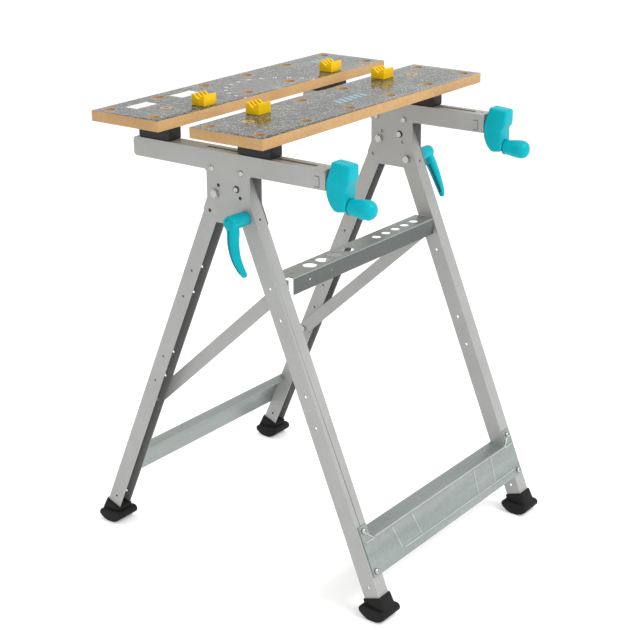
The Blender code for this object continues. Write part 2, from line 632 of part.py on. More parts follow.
def lever(side):
    """A clamping lever: a hub along X, and a tapered handle hanging from its outer end."""
    sign = SIDES[side]
    outer_wall = sign * (FRAME_X + BEAM_WIDTH / 2 + GAP)
    profile = [(0, 0), (0.0105, 0), (0.0115, 0.002), (0.0120, 0.041), (0.0105, 0.0435), (0, 0.0435)]
    obj = turned(f"clamp_lever_{side}", profile, (outer_wall, *LEVER_PIVOT), (sign, 0, 0), PARTS, 16)
    curve = bpy.data.curves.new(f"lever_handle_{side}", "CURVE")
    curve.dimensions = "3D"
    curve.bevel_depth = 0.0105
    curve.bevel_resolution = 2
    curve.use_fill_caps = True
    route = [(0.2870, LEVER_PIVOT[0] + 0.003, 0.6600, 1.00), (0.2920, -0.0470, 0.6450, 1.00),
             (0.2985, -0.0530, 0.6250, 0.92), (0.3020, -0.0610, 0.6040, 0.82),
             (0.3005, -0.0690, 0.5870, 0.66), (0.2975, LEVER_TIP[0], LEVER_TIP[1], 0.45)]
    spline = curve.splines.new("POLY")
    spline.points.add(len(route) - 1)
    for place, (px, py, pz, size) in zip(spline.points, route):
        place.co = (sign * px, py, pz, 1)
        place.radius = size
    drawn = new_object(f"lever_handle_{side}", curve, CUTTERS)
    bpy.context.view_layer.update()
    mesh = bpy.data.meshes.new_from_object(drawn.evaluated_get(bpy.context.evaluated_depsgraph_get()))
    shape = bmesh.new()
    shape.from_mesh(mesh)
    bmesh.ops.remove_doubles(shape, verts=shape.verts, dist=1e-5)
    bmesh.ops.recalc_face_normals(shape, faces=shape.faces)
    shape.to_mesh(mesh)
    shape.free()
    bpy.data.objects.remove(drawn, do_unlink=True)
    handle = new_object(f"lever_handle_{side}", mesh, CUTTERS)
    boolean(obj, handle, "UNION")
    bore = ((outer_wall - sign * 0.01, *LEVER_PIVOT), (sign * 0.2855, *LEVER_PIVOT), PIN_R + GAP)
    boolean(obj, rods(f"lever_{side}_bore", [bore], CUTTERS))
    return finish(obj, TEAL_PLASTIC)


def dog(name, x, y):
    """A bench dog: a round peg under a block with a lobe at its rear, a valley and a lobe at its front."""
    profile = [(-DOG_FRONT, GAP), (DOG_REAR, GAP), (DOG_REAR, DOG_HEIGHT), (0.0051, 0.0190),
               (-0.0037, 0.0113), (-0.0097, 0.0168), (-DOG_FRONT, 0.0195)]
    outline = [(y + along, TOP_Z + up) for along, up in profile]
    obj = outline_solid(name, outline, x - DOG_WIDTH / 2, x + DOG_WIDTH / 2, PARTS)
    peg = ((x, y, TOP_Z - 0.024), (x, y, TOP_Z + 0.003), DOG_HOLE_R - 0.0006)
    boolean(obj, rods(f"{name}_peg", [peg], CUTTERS), "UNION")
    return finish(obj, YELLOW_PLASTIC)


def build_frame():
    jaw("rear_jaw", REAR_JAW_Y, DOG_ROW_Y["rear"], REAR_SCREW_Y)
    cross_plate("rear_brace_plate", back_web, 1, REAR_PLATE)
    inner, outer = FRAME_X - BEAM_WIDTH / 2, FRAME_X + BEAM_WIDTH / 2
    for side, sign in SIDES.items():
        beam(side)
        spacer(f"rear_spacer_{side}", side, REAR_JAW_Y, REAR_SCREW_Y)
        jaw_screw(f"rear_jaw_screw_{side}", side, REAR_SCREW_Y, 0.7560)
        back_leg(side)
        foot(f"back_foot_{side}", side, 1)
        plate_screw(f"rear_brace_screw_{side}", side, back_web, 1, REAR_PLATE["screws"][0])
        across = (sign * (outer + GAP), sign * (inner - GAP))
        fastener(f"leg_bolt_{side}", LEG_BOLT, across, LEG_BOLT_HEAD_R)
        fastener(f"stop_pin_{side}", STOP_PIN, across, STOP_PIN_HEAD_R, head=0.003, nut=0.003)
        fastener(f"rear_rivet_{side}", REAR_RIVET, across, RIVET_HEAD_R, 0.0025, 0.0025, 0.0025)
        fastener(f"front_rivet_{side}", FRONT_RIVET, across, RIVET_HEAD_R, 0.0025, 0.0025, 0.0025)
        flange = sign * (FRAME_X - LEG_WIDTH / 2 + SHEET + GAP)
        fastener(f"stay_pivot_bolt_{side}", STAY_PIVOT, (sign * (ARM_OUTER_X - ARM_THICKNESS - GAP), flange))
        clamp_bolt(side)


def clamp_bolt(side):
    """The bolt that the lever turns on, held by a nut on the inner gusset plate."""
    sign = SIDES[side]
    start = sign * (FRAME_X - BEAM_WIDTH / 2 - GAP)
    length = 0.2850 - abs(start)
    profile = [(0, -0.006), (0.0068, -0.006), (0.0068, 0), (PIN_R, 0), (PIN_R, length), (0, length)]
    bolt = turned(f"clamp_bolt_{side}", profile, (start, *LEVER_PIVOT), (sign, 0, 0), PARTS, 12)
    return finish(bolt, ZINC)


def build_front_legs():
    cross_plate("front_step_plate", front_web, -1, STEP_PLATE)
    for side, sign in SIDES.items():
        front_leg(side)
        foot(f"front_foot_{side}", side, -1)
        plate_screw(f"step_upper_screw_{side}", side, front_web, -1, STEP_PLATE["screws"][0])
        plate_screw(f"step_lower_screw_{side}", side, front_web, -1, STEP_PLATE["screws"][1])
        flange = sign * (FRAME_X - LEG_WIDTH / 2 + SHEET + GAP)
        inside = sign * (ARM_OUTER_X - ARM_THICKNESS - GAP)
        fastener(f"hook_pin_{side}", HOOK_PIN, (inside, flange), 0.0060, head=0.002, nut=0.0025)


def build_clamp():
    jaw("front_jaw", FRONT_JAW_Y, DOG_ROW_Y["front"], FRONT_SCREW_Y)
    for side in SIDES:
        spacer(f"front_spacer_{side}", side, FRONT_JAW_Y, FRONT_SCREW_Y)
        jaw_screw(f"front_jaw_screw_{side}", side, FRONT_SCREW_Y, 0.7530)
        jaw_nut(side)
        spindle(side)
        crank(side)
        knob(side)
        lever(side)
    for row, middle_y in (("rear", DOG_ROW_Y["rear"][1]), ("front", DOG_ROW_Y["front"][0])):
        for side, sign in SIDES.items():
            dog(f"{row}_dog_{side}", sign * DOG_X, middle_y)


def build_stay():
    tool_tray()
    for side in SIDES:
        stay_arm(side)


PARTS, CUTTERS = clear_scene()
build_frame()
build_front_legs()
build_stay()
build_clamp()
for piece in PARTS.objects:
    round_off(piece)
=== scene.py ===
"""Looks of the folding clamping workbench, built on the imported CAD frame."""

import math

import bmesh
import bpy
from mathutils import Matrix, Vector


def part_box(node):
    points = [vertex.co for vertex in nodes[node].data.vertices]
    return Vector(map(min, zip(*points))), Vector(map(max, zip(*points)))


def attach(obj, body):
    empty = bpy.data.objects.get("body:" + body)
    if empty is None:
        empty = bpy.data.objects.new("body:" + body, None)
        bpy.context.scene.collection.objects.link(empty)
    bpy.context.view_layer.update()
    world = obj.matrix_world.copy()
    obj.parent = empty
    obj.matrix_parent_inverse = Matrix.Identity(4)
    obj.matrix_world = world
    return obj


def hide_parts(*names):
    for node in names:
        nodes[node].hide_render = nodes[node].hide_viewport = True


SIDES = {"left": -1, "right": 1}
FRAME_X = 0.238         # middle of each A-frame
HOLE_XS = (-0.300, -0.180, -0.060, 0.060, 0.180, 0.300)     # dog holes of one row
HOLE_PITCH = 0.120
SHEET_THICKNESS = 0.0015
LEG_DEPTH = 0.030
LEG_SLOPE = {-1: 0.408, 1: 0.430}   # run over rise of the front (-1) and back (1) legs
BACK_LEG_FLOOR_Y = 0.3140   # where the back legs' middle lines meet the floor
SOLE_Y = 0.3030         # middle of each sole, in front of and behind the origin
BEAM_MIDDLE_Z = 0.7285
DOG_FRONT = 0.0167      # from a dog's peg to the front of its block
HUB_LENGTH = 0.0432     # from a lever's inner face to the end of its hub

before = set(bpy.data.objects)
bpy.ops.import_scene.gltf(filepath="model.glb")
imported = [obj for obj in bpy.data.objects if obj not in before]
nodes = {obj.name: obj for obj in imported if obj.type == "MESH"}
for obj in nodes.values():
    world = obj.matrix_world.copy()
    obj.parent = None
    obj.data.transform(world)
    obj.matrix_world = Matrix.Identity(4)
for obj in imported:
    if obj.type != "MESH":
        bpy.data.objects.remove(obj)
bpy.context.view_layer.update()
scene = bpy.context.scene


# ---------------------------------------------------------------- camera, light and floor

def look_from(position, target, roll, lens):
    """A camera at position, aimed at target, turned by roll in degrees about its own axis."""
    camera = bpy.data.objects.new("camera", bpy.data.cameras.new("camera"))
    scene.collection.objects.link(camera)
    forward = (Vector(target) - Vector(position)).normalized()
    right = forward.cross(Vector((0, 0, 1))).normalized()
    up = right.cross(forward)
    turn = math.radians(roll)
    right, up = (right * math.cos(turn) + up * math.sin(turn), up * math.cos(turn) - right * math.sin(turn))
    camera.matrix_world = Matrix.Translation(position) @ Matrix((right, up, -forward)).transposed().to_4x4()
    camera.data.lens = lens
    camera.data.sensor_width = 36
    camera.data.clip_end = 30
    scene.camera = camera


def area_light(name, position, target, size, power):
    data = bpy.data.lights.new(name, "AREA")
    data.shape = "RECTANGLE"
    data.size, data.size_y = size
    data.energy = power
    light = bpy.data.objects.new(name, data)
    scene.collection.objects.link(light)
    light.location = position
    light.rotation_euler = (Vector(target) - Vector(position)).to_track_quat("-Z", "Y").to_euler()


look_from((-2.0725, -1.5479, 1.3516), (0.0, 0.008, 0.403), -0.42, 86.09)
area_light("key", (0.5, -2.5, 3.0), (0, 0, 0.4), (2.0, 1.4), 84)
area_light("side", (-3.2, -0.2, 1.5), (0, 0, 0.5), (1.6, 1.6), 10)
area_light("top", (0.4, 1.0, 3.2), (0, 0, 0.4), (2.0, 2.0), 16)
area_light("fill", (-2.6, -2.4, 2.0), (0, 0, 0.4), (0.7, 0.7), 8)
scene.view_settings.view_transform = "Standard"
world = bpy.data.worlds.new("studio")
world.use_nodes = True
world.node_tree.nodes["Background"].inputs["Color"].default_value = (1, 1, 1, 1)
world.node_tree.nodes["Background"].inputs["Strength"].default_value = 0.90
scene.world = world


# ---------------------------------------------------------------- materials

class Material:
    """A node material and short ways to add its nodes."""

    def __init__(self, name, colour, roughness, metallic=0.0):
        self.made = bpy.data.materials.new(name)
        self.made.use_nodes = True
        self.tree = self.made.node_tree
        self.shader = self.tree.nodes["Principled BSDF"]
        self.shader.inputs["Base Color"].default_value = (*colour, 1)
        self.shader.inputs["Roughness"].default_value = roughness
        self.shader.inputs["Metallic"].default_value = metallic
        self.place = self.tree.nodes.new("ShaderNodeTexCoord").outputs["Object"]

    def node(self, kind, **values):
        made = self.tree.nodes.new("ShaderNode" + kind)
        for key, value in values.items():
            setattr(made, key, value)
        return made

    def join(self, source, target):
        self.tree.links.new(source, target)

    def math(self, operation, first, second=None):
        made = self.node("Math", operation=operation)
        for slot, value in enumerate((first, second)):
            if value is None:
                continue
            if isinstance(value, (int, float)):
                made.inputs[slot].default_value = value
            else:
                self.join(value, made.inputs[slot])
        return made.outputs[0]

    def noise(self, scale, detail=2.0, stretch=(1, 1, 1)):
        mapping = self.node("Mapping")
        mapping.inputs["Scale"].default_value = stretch
        self.join(self.place, mapping.inputs["Vector"])
        made = self.node("TexNoise")
        made.inputs["Scale"].default_value = scale
        made.inputs["Detail"].default_value = detail
        self.join(mapping.outputs[0], made.inputs["Vector"])
        return made.outputs["Fac"]

    def ramp(self, factor, stops):
        made = self.node("ValToRGB")
        elements = made.color_ramp.elements
        while len(elements) < len(stops):
            elements.new(0.5)
        for element, (position, colour) in zip(elements, stops):
            element.position = position
            element.color = (*colour, 1)
        self.join(factor, made.inputs["Fac"])
        return made.outputs["Color"]

    def mix(self, factor, first, second):
        made = self.node("Mix", data_type="RGBA")
        self.join(factor, made.inputs["Factor"])
        for slot, value in (("A", first), ("B", second)):
            socket = [s for s in made.inputs if s.name == slot and s.type == "RGBA"][0]
            if isinstance(value, tuple):
                socket.default_value = (*value, 1)
            else:
                self.join(value, socket)
        return [s for s in made.outputs if s.type == "RGBA"][0]

    def colour(self, socket):
        self.join(socket, self.shader.inputs["Base Color"])

    def rough(self, factor, low, high):
        spread = self.node("MapRange")
        spread.inputs["To Min"].default_value = low
        spread.inputs["To Max"].default_value = high
        self.join(factor, spread.inputs["Value"])
        self.join(spread.outputs[0], self.shader.inputs["Roughness"])

    def bump(self, height, strength, distance=0.0005):
        made = self.node("Bump")
        made.inputs["Strength"].default_value = strength
        made.inputs["Distance"].default_value = distance
        self.join(height, made.inputs["Height"])
        self.join(made.outputs[0], self.shader.inputs["Normal"])


def painted_steel(name="silver_paint", strength=1.0):
    """Silver-grey paint with fine flake and a faint orange peel."""
    shade = lambda factor: tuple(strength * factor * c for c in (0.325, 0.330, 0.321))
    look = Material(name, shade(1.0), 0.36, 0.25)
    flake = look.noise(2600, 2)
    cloud = look.noise(14, 3)
    mixed = look.math("ADD", look.math("MULTIPLY", flake, 0.75), look.math("MULTIPLY", cloud, 0.25))
    look.colour(look.ramp(mixed, [(0.34, shade(0.84)), (0.52, shade(1.0)), (0.66, shade(1.18))]))
    look.rough(cloud, 0.33, 0.47)
    look.bump(look.noise(900, 2), 0.08)
    return look.made


def galvanised(name="galvanised", strength=1.0):
    """Cold-rolled zinc sheet: long streaks with a faint spangle."""
    shade = lambda factor: tuple(strength * factor * c for c in (0.285, 0.320, 0.308))
    look = Material(name, shade(1.0), 0.32, 0.65)
    streak = look.noise(60, 4, (0.08, 1, 1))
    spangle = look.node("TexVoronoi")
    spangle.inputs["Scale"].default_value = 140
    look.join(look.place, spangle.inputs["Vector"])
    mixed = look.math("ADD", look.math("MULTIPLY", streak, 0.7),
                      look.math("MULTIPLY", spangle.outputs["Distance"], 0.20))
    look.colour(look.ramp(mixed, [(0.20, shade(0.80)), (0.42, shade(0.94)), (0.66, shade(1.10))]))
    look.rough(streak, 0.26, 0.46)
    look.bump(streak, 0.06)
    return look.made


def zinc(name="bright_zinc", colour=(0.72, 0.72, 0.70)):
    look = Material(name, colour, 0.25, 0.95)
    grain = look.noise(350, 3)
    dark = tuple(c * 0.75 for c in colour)
    look.colour(look.ramp(grain, [(0.3, dark), (0.65, colour)]))
    look.rough(grain, 0.20, 0.38)
    return look.made


def plastic(name, colour, roughness, grain=0.06, grain_scale=1400, shine=0.28):
    """Moulded plastic with a faint grain and slow colour variation."""
    look = Material(name, colour, roughness)
    look.shader.inputs["Specular IOR Level"].default_value = shine
    drift = look.noise(22, 2)
    low = tuple(c * 0.90 for c in colour)
    high = tuple(min(1, c * 1.08) for c in colour)
    look.colour(look.ramp(drift, [(0.3, low), (0.7, high)]))
    look.rough(look.noise(120, 3), roughness - 0.05, roughness + 0.08)
    look.bump(look.noise(grain_scale, 2), grain, 0.0003)
    return look.made


def fibre_board():
    """Bare edge of a pressed wood-fibre board."""
    look = Material("board_edge", (0.46, 0.285, 0.125), 0.62)
    fibre = look.noise(700, 4, (1, 1, 0.35))
    cloud = look.noise(18, 3)
    mixed = look.math("ADD", look.math("MULTIPLY", fibre, 0.6), look.math("MULTIPLY", cloud, 0.4))
    look.colour(look.ramp(mixed, [(0.30, (0.32, 0.175, 0.066)), (0.52, (0.42, 0.25, 0.098)),
                                  (0.75, (0.51, 0.32, 0.14))]))
    look.bump(fibre, 0.25, 0.0004)
    return look.made


def printed_top(rows, holes_from, holes_step, protractor):
    """Glossy printed face: hexagon mesh with flecks, a ring round each dog hole and an angle scale."""
    look = Material("printed_top", (0.10, 0.10, 0.095), 0.12)
    look.shader.inputs["Specular IOR Level"].default_value = 0.34
    parts = look.node("SeparateXYZ")
    look.join(look.place, parts.inputs[0])
    x, y = parts.outputs[0], parts.outputs[1]

    def wrapped(value, step):
        """Distance from value to the nearest whole number of steps."""
        shifted = look.math("ADD", value, 20 * step + step / 2)
        return look.math("ABSOLUTE", look.math("SUBTRACT", look.math("MODULO", shifted, step), step / 2))

    def hypot(first, second):
        squares = look.math("ADD", look.math("MULTIPLY", first, first),
                            look.math("MULTIPLY", second, second))
        return look.math("SQRT", squares)

    cells = look.node("TexVoronoi", feature="DISTANCE_TO_EDGE")
    cells.inputs["Scale"].default_value = 105
    cells.inputs["Randomness"].default_value = 0.30
    look.join(look.place, cells.inputs["Vector"])
    fleck = look.node("TexVoronoi")
    fleck.inputs["Scale"].default_value = 270
    look.join(look.place, fleck.inputs["Vector"])
    patch = look.noise(18, 4)
    ground = look.ramp(patch, [(0.34, (0.030, 0.033, 0.026)), (0.50, (0.054, 0.058, 0.047)),
                               (0.66, (0.098, 0.097, 0.078))])
    mesh_line = look.math("LESS_THAN", cells.outputs["Distance"], 0.085)
    lined = look.mix(look.math("MULTIPLY", mesh_line, 0.85), ground, (0.012, 0.013, 0.012))
    bright = look.math("MULTIPLY", look.math("LESS_THAN", fleck.outputs["Distance"], 0.34),
                       look.math("GREATER_THAN", look.noise(70, 2), 0.46))
    flecked = look.mix(look.math("MULTIPLY", bright, 0.66), lined, (0.44, 0.45, 0.40))
    if protractor:
        centre_y, radius = protractor
        away = look.math("SUBTRACT", y, centre_y)
        reach = hypot(x, away)
        angle = look.math("ARCTAN2", away, x)
        inside = look.math("LESS_THAN", reach, radius - 0.010)
        flecked = look.mix(look.math("MULTIPLY", inside, 0.55), flecked, (0.075, 0.08, 0.072))
        sideways = look.math("MULTIPLY", wrapped(angle, math.radians(15)), reach)
        figures = look.math("LESS_THAN", look.math("ABSOLUTE", look.math("SUBTRACT", sideways, 0.0022)),
                            0.0010)
        band = look.math("LESS_THAN", look.math("ABSOLUTE", look.math("SUBTRACT", reach, radius)), 0.0036)
        spoke = look.math("MULTIPLY", look.math("LESS_THAN", sideways, 0.0005), inside)
        ring = look.math("LESS_THAN", look.math("ABSOLUTE", look.math("SUBTRACT", reach, radius - 0.009)),
                         0.0005)
        marks = look.math("MAXIMUM", look.math("MULTIPLY", figures, band),
                          look.math("MULTIPLY", look.math("MAXIMUM", spoke, ring), 0.28))
        flecked = look.mix(look.math("MULTIPLY", marks, 0.9), flecked, (0.80, 0.81, 0.79))
    along = wrapped(look.math("SUBTRACT", x, holes_from), holes_step)
    across = None
    for row in rows:
        offset = look.math("ABSOLUTE", look.math("SUBTRACT", y, row))
        across = offset if across is None else look.math("MINIMUM", across, offset)
    ring = look.math("LESS_THAN", hypot(along, across), 0.0125)
    shade = look.ramp(look.noise(9, 0), [(0.42, (0.42, 0.12, 0.035)), (0.56, (0.50, 0.27, 0.035))])
    look.colour(look.mix(look.math("MULTIPLY", ring, 0.35), flecked, shade))
    look.rough(look.noise(40, 2), 0.09, 0.16)
    return look.made


STEEL = painted_steel()
# A darker copy of the silver paint for the faces inside the channels: painted shade.
STEEL_PAINTED_SHADE = painted_steel("silver_paint_painted_shade", 0.68)
SHEET = galvanised()
# A lighter copy of the galvanised sheet for the crests of the pressed ribs: painted highlight.
SHEET_PAINTED_HIGHLIGHT = galvanised("galvanised_painted_highlight", 1.45)
# A darker copy of the galvanised sheet for the tray's upright front flange: painted shade.
SHEET_SHADED = galvanised("galvanised_flange_painted_shade", 0.30)
ZINC = zinc("bright_zinc", (0.50, 0.50, 0.49))
DULL_ZINC = zinc("dull_zinc", (0.07, 0.07, 0.068))
YELLOW_ZINC = zinc("yellow_zinc", (0.72, 0.46, 0.11))
TEAL = plastic("teal_plastic", (0.0, 0.330, 0.390), 0.34, shine=0.10)
# Dark teal for strips along the bottom of the lever grooves: painted shade.
TEAL_SHADE = plastic("teal_groove_painted_shade", (0.0, 0.10, 0.13), 0.45)
YELLOW = plastic("yellow_plastic", (0.71, 0.44, 0.003), 0.36, shine=0.18)
BLACK = plastic("black_plastic", (0.012, 0.012, 0.012), 0.48, 0.15, 900)
RUBBER = plastic("black_rubber", (0.008, 0.008, 0.0078), 0.60, 0.30, 700, 0.16)
EDGE = fibre_board()
LABEL = plastic("blank_label", (0.72, 0.72, 0.70), 0.30, 0.02)
PALE_BLUE = plastic("pale_blue_print", (0.14, 0.30, 0.37), 0.16, 0.02)
PALE_RING = plastic("pale_ring_print", (0.38, 0.27, 0.10), 0.22, 0.02)
# Dark teal: a collar line round each knob's root, and a disc that paints the shade at the bottom of each
# lever hub's socket.
DARK = plastic("dark_collar_and_recess_painted_shade", (0.004, 0.045, 0.06), 0.5, 0.05)
# Near-black for the discs in the gusset holes and the strokes round the lanced mark: painted shade.
PAINTED_SHADE_MARK = plastic("painted_shade_line", (0.03, 0.03, 0.029), 0.6, 0.02)


# ---------------------------------------------------------------- mesh helpers

def mesh_object(name, shape, *materials):
    mesh = bpy.data.meshes.new(name)
    shape.to_mesh(mesh)
    shape.free()
    obj = bpy.data.objects.new(name, mesh)
    scene.collection.objects.link(obj)
    for look in materials:
        mesh.materials.append(look)
    return obj


def baked(obj):
    """Puts what the modifiers make into the object's own mesh."""
    bpy.context.view_layer.update()
    mesh = bpy.data.meshes.new_from_object(obj.evaluated_get(bpy.context.evaluated_depsgraph_get()))
    obj.modifiers.clear()
    obj.data = mesh
    return obj


def cut(obj, cutter, operation="DIFFERENCE"):
    """Applies a Boolean at once and removes the other shape."""
    modifier = obj.modifiers.new("cut", "BOOLEAN")
    modifier.operation = operation
    modifier.solver = "EXACT"
    modifier.object = cutter
    baked(obj)
    assert obj.data.polygons, obj.name + " was cut away"
    bpy.data.objects.remove(cutter, do_unlink=True)
    return obj


def rounded(obj, width, segments=3, angle=35):
    modifier = obj.modifiers.new("rounding", "BEVEL")
    modifier.width = width
    modifier.segments = segments
    modifier.limit_method = "ANGLE"
    modifier.angle_limit = math.radians(angle)
    return baked(obj)


def smooth(obj, angle=38):
    obj.data.shade_smooth()
    obj.data.set_sharp_from_angle(angle=math.radians(angle))
    return obj


def box_shape(low, high, turn=Matrix()):
    shape = bmesh.new()
    low, high = Vector(low), Vector(high)
    size = Matrix.Diagonal((*(high - low), 1.0))
    bmesh.ops.create_cube(shape, size=1.0, matrix=turn @ Matrix.Translation((low + high) / 2) @ size)
    return shape


def rod_shape(start, end, radius, segments=40):
    shape = bmesh.new()
    start, end = Vector(start), Vector(end)
    turn = (end - start).to_track_quat("Z", "Y").to_matrix().to_4x4()
    bmesh.ops.create_cone(shape, cap_ends=True, segments=segments, radius1=radius, radius2=radius,
                          depth=(end - start).length, matrix=Matrix.Translation((start + end) / 2) @ turn)
    return shape


def merged(shapes):
    """One bmesh out of several, which it uses up."""
    whole = bmesh.new()
    for shape in shapes:
        mesh = bpy.data.meshes.new("part")
        shape.to_mesh(mesh)
        shape.free()
        whole.from_mesh(mesh)
        bpy.data.meshes.remove(mesh)
    return whole


def outline_shape(points, low_x, high_x):
    """A closed (y, z) outline, extruded along X."""
    shape = bmesh.new()
    face = shape.faces.new([shape.verts.new((low_x, y, z)) for y, z in points])
    top = bmesh.ops.extrude_face_region(shape, geom=[face])
    moved = [v for v in top["geom"] if isinstance(v, bmesh.types.BMVert)]
    bmesh.ops.translate(shape, verts=moved, vec=(high_x - low_x, 0, 0))
    bmesh.ops.recalc_face_normals(shape, faces=shape.faces)
    return shape


def spun(profile, base, direction, segments=48):
    """A (radius, distance) profile turned about the line from base along direction."""
    shape = bmesh.new()
    turn = Matrix.Translation(base) @ Vector(direction).to_track_quat("Z", "Y").to_matrix().to_4x4()
    rings = []
    for radius, along in profile:
        if radius < 1e-7:
            rings.append([shape.verts.new(turn @ Vector((0, 0, along)))])
            continue
        ring = []
        for step in range(segments):
            angle = 2 * math.pi * step / segments
            point = Vector((radius * math.cos(angle), radius * math.sin(angle), along))
            ring.append(shape.verts.new(turn @ point))
        rings.append(ring)
    for first, second in zip(rings, rings[1:]):
        for step in range(segments):
            after = (step + 1) % segments
            corners = [first[step % len(first)], first[after % len(first)],
                       second[after % len(second)], second[step % len(second)]]
            unique = list(dict.fromkeys(corners))
            if len(unique) > 2:
                shape.faces.new(unique)
    bmesh.ops.recalc_face_normals(shape, faces=shape.faces)
    return shape


def loft(rings):
    """A closed skin over rings that all have the same number of points."""
    shape = bmesh.new()
    made = [[shape.verts.new(point) for point in ring] for ring in rings]
    count = len(rings[0])
    for first, second in zip(made, made[1:]):
        for i in range(count):
            j = (i + 1) % count
            shape.faces.new((first[i], first[j], second[j], second[i]))
    shape.faces.new(made[0][::-1])
    shape.faces.new(made[-1])
    bmesh.ops.recalc_face_normals(shape, faces=shape.faces)
    return shape


def curve_points(points, steps=8):
    """Points on a smooth line through the given ones."""
    dense = []
    for i in range(len(points) - 1):
        near = [max(0, min(len(points) - 1, j)) for j in (i - 1, i, i + 1, i + 2)]
        before, start, end, after = (Vector(points[j]) for j in near)
        for step in range(steps):
            t = step / steps
            dense.append(0.5 * (2 * start + (end - before) * t
                                + (2 * before - 5 * start + 4 * end - after) * t ** 2
                                + (3 * start - before - 3 * end + after) * t ** 3))
    dense.append(Vector(points[-1]))
    return dense


def squircle(across, up, power=0.75, segments=24):
    """Offsets round a rounded rectangle spanned by two half-axes."""
    offsets = []
    for step in range(segments):
        angle = 2 * math.pi * step / segments
        c, s = math.cos(angle), math.sin(angle)
        offsets.append(across * math.copysign(abs(c) ** power, c) + up * math.copysign(abs(s) ** power, s))
    return offsets


def tube(points, radius, flat, normal, segments=14):
    """A bar along points: radius wide to each side, flat high along the normal."""
    rings = []
    for i, here in enumerate(points):
        along = (points[min(i + 1, len(points) - 1)] - points[max(i - 1, 0)]).normalized()
        across = along.cross(normal).normalized()
        rings.append([here + offset for offset in squircle(across * radius, normal * flat, 1.0, segments)])
    return loft(rings)


def stands_for(obj, node, body):
    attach(obj, body)
    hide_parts(node)
    return obj


def extra(obj, body):
    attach(obj, body)
    return obj


def middle(node):
    low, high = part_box(node)
    return (low + high) / 2


def keep(node, look, edge=0.0004, segments=2):
    """A CAD node that stays, with its look and softened edges."""
    obj = nodes[node]
    obj.data.materials.clear()
    obj.data.materials.append(look)
    weld = obj.modifiers.new("weld", "WELD")
    weld.merge_threshold = 0.00001
    if edge:
        bevel = obj.modifiers.new("edges", "BEVEL")
        bevel.width = edge
        bevel.segments = segments
        bevel.limit_method = "ANGLE"
        bevel.angle_limit = math.radians(40)
    obj.data.shade_smooth()
    normals = obj.modifiers.new("normals", "WEIGHTED_NORMAL")
    normals.keep_sharp = True
    return obj


# ---------------------------------------------------------------- jaws

def jaw(node, body, rows, screws_y, protractor=None):
    low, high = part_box(node)
    shape = box_shape(low, high)
    board = mesh_object(node + "_board", shape)
    rounded(board, 0.0008, 2)
    holes = []
    for x in HOLE_XS:
        for y in rows:
            holes.append(rod_shape((x, y, low.z - 0.01), (x, y, high.z + 0.01), 0.010, 48))
    cut(board, mesh_object("holes", merged(holes)))
    sinks = []
    for screw in (f"{node}_screw_left", f"{node}_screw_right"):
        x = middle(screw).x
        sinks.append(rod_shape((x, screws_y, high.z - 0.0037), (x, screws_y, high.z + 0.002), 0.0055, 32))
    cut(board, mesh_object("sinks", merged(sinks)))
    shafts = []
    for screw in (f"{node}_screw_left", f"{node}_screw_right"):
        x = middle(screw).x
        shafts.append(rod_shape((x, screws_y, low.z - 0.01), (x, screws_y, high.z), 0.0025, 16))
    cut(board, mesh_object("shafts", merged(shafts)))
    board.data.materials.clear()
    board.data.materials.append(printed_top(rows, HOLE_XS[3], HOLE_PITCH, protractor))
    board.data.materials.append(EDGE)
    for face in board.data.polygons:
        face.material_index = 0 if face.normal.z > 0.7 and face.center.z > high.z - 0.0009 else 1
    smooth(board, 30)
    stands_for(board, node, body)


def labels():
    """Blank stickers at the left end of the rear jaw, and plain dashes where a print would be."""
    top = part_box("rear_jaw")[1].z
    stickers = [(-0.2475, 0.1835, 0.050, 0.026), (-0.135, 0.1835, 0.052, 0.029)]
    for number, (x, y, width, depth) in enumerate(stickers):
        shape = box_shape((x - width / 2, y - depth / 2, top + 0.00002),
                          (x + width / 2, y + depth / 2, top + 0.00022))
        extra(rounded(mesh_object(f"label_{number}", shape, LABEL), 0.0001, 1), "frame")
    dashes = [("rear_jaw", "frame", 0.232, 0.178, 4), ("front_jaw", "front_jaw", -0.035, -0.070, 6)]
    for node, body, start, y, count in dashes:
        shapes = []
        for step in range(count):
            x = start + 0.0145 * step
            lean = Matrix.Translation((x, y, top)) @ Matrix.Rotation(math.radians(-22), 4, "Z")
            shapes.append(box_shape((-0.0038, -0.0120, 0.00002), (0.0038, 0.0120, 0.00014), lean))
        extra(mesh_object(f"print_dashes_{node}", merged(shapes), PALE_BLUE), body)


def jaw_screws():
    for row, body in (("rear", "frame"), ("front", "front_jaw")):
        for side in SIDES:
            node = f"{row}_jaw_screw_{side}"
            low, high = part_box(node)
            centre = (low + high) / 2
            profile = [(0, low.z), (0.0022, low.z), (0.0022, high.z - 0.0030), (0.0052, high.z - 0.0006),
                       (0.0050, high.z - 0.0002), (0, high.z)]
            turned = spun(profile, (centre.x, centre.y, 0), (0, 0, 1), 32)
            screw = mesh_object(f"{node}_head", turned, YELLOW_ZINC)
            for turn in (35, 125):
                spin = (Matrix.Translation((centre.x, centre.y, high.z))
                        @ Matrix.Rotation(math.radians(turn), 4, "Z"))
                slot = box_shape((-0.0032, -0.0006, -0.0016), (0.0032, 0.0006, 0.001), spin)
                cut(screw, mesh_object("recess", slot))
            stands_for(smooth(screw), node, body)
            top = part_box(row + "_jaw")[1].z
            flat = [(0.0062, 0.00002), (0.0105, 0.00002), (0.0105, 0.00014), (0.0062, 0.00014),
                    (0.0062, 0.00002)]
            ring = spun(flat, (centre.x, centre.y, top), (0, 0, 1), 40)
            extra(mesh_object(f"{node}_ring", ring, PALE_RING), body)


# ---------------------------------------------------------------- dogs

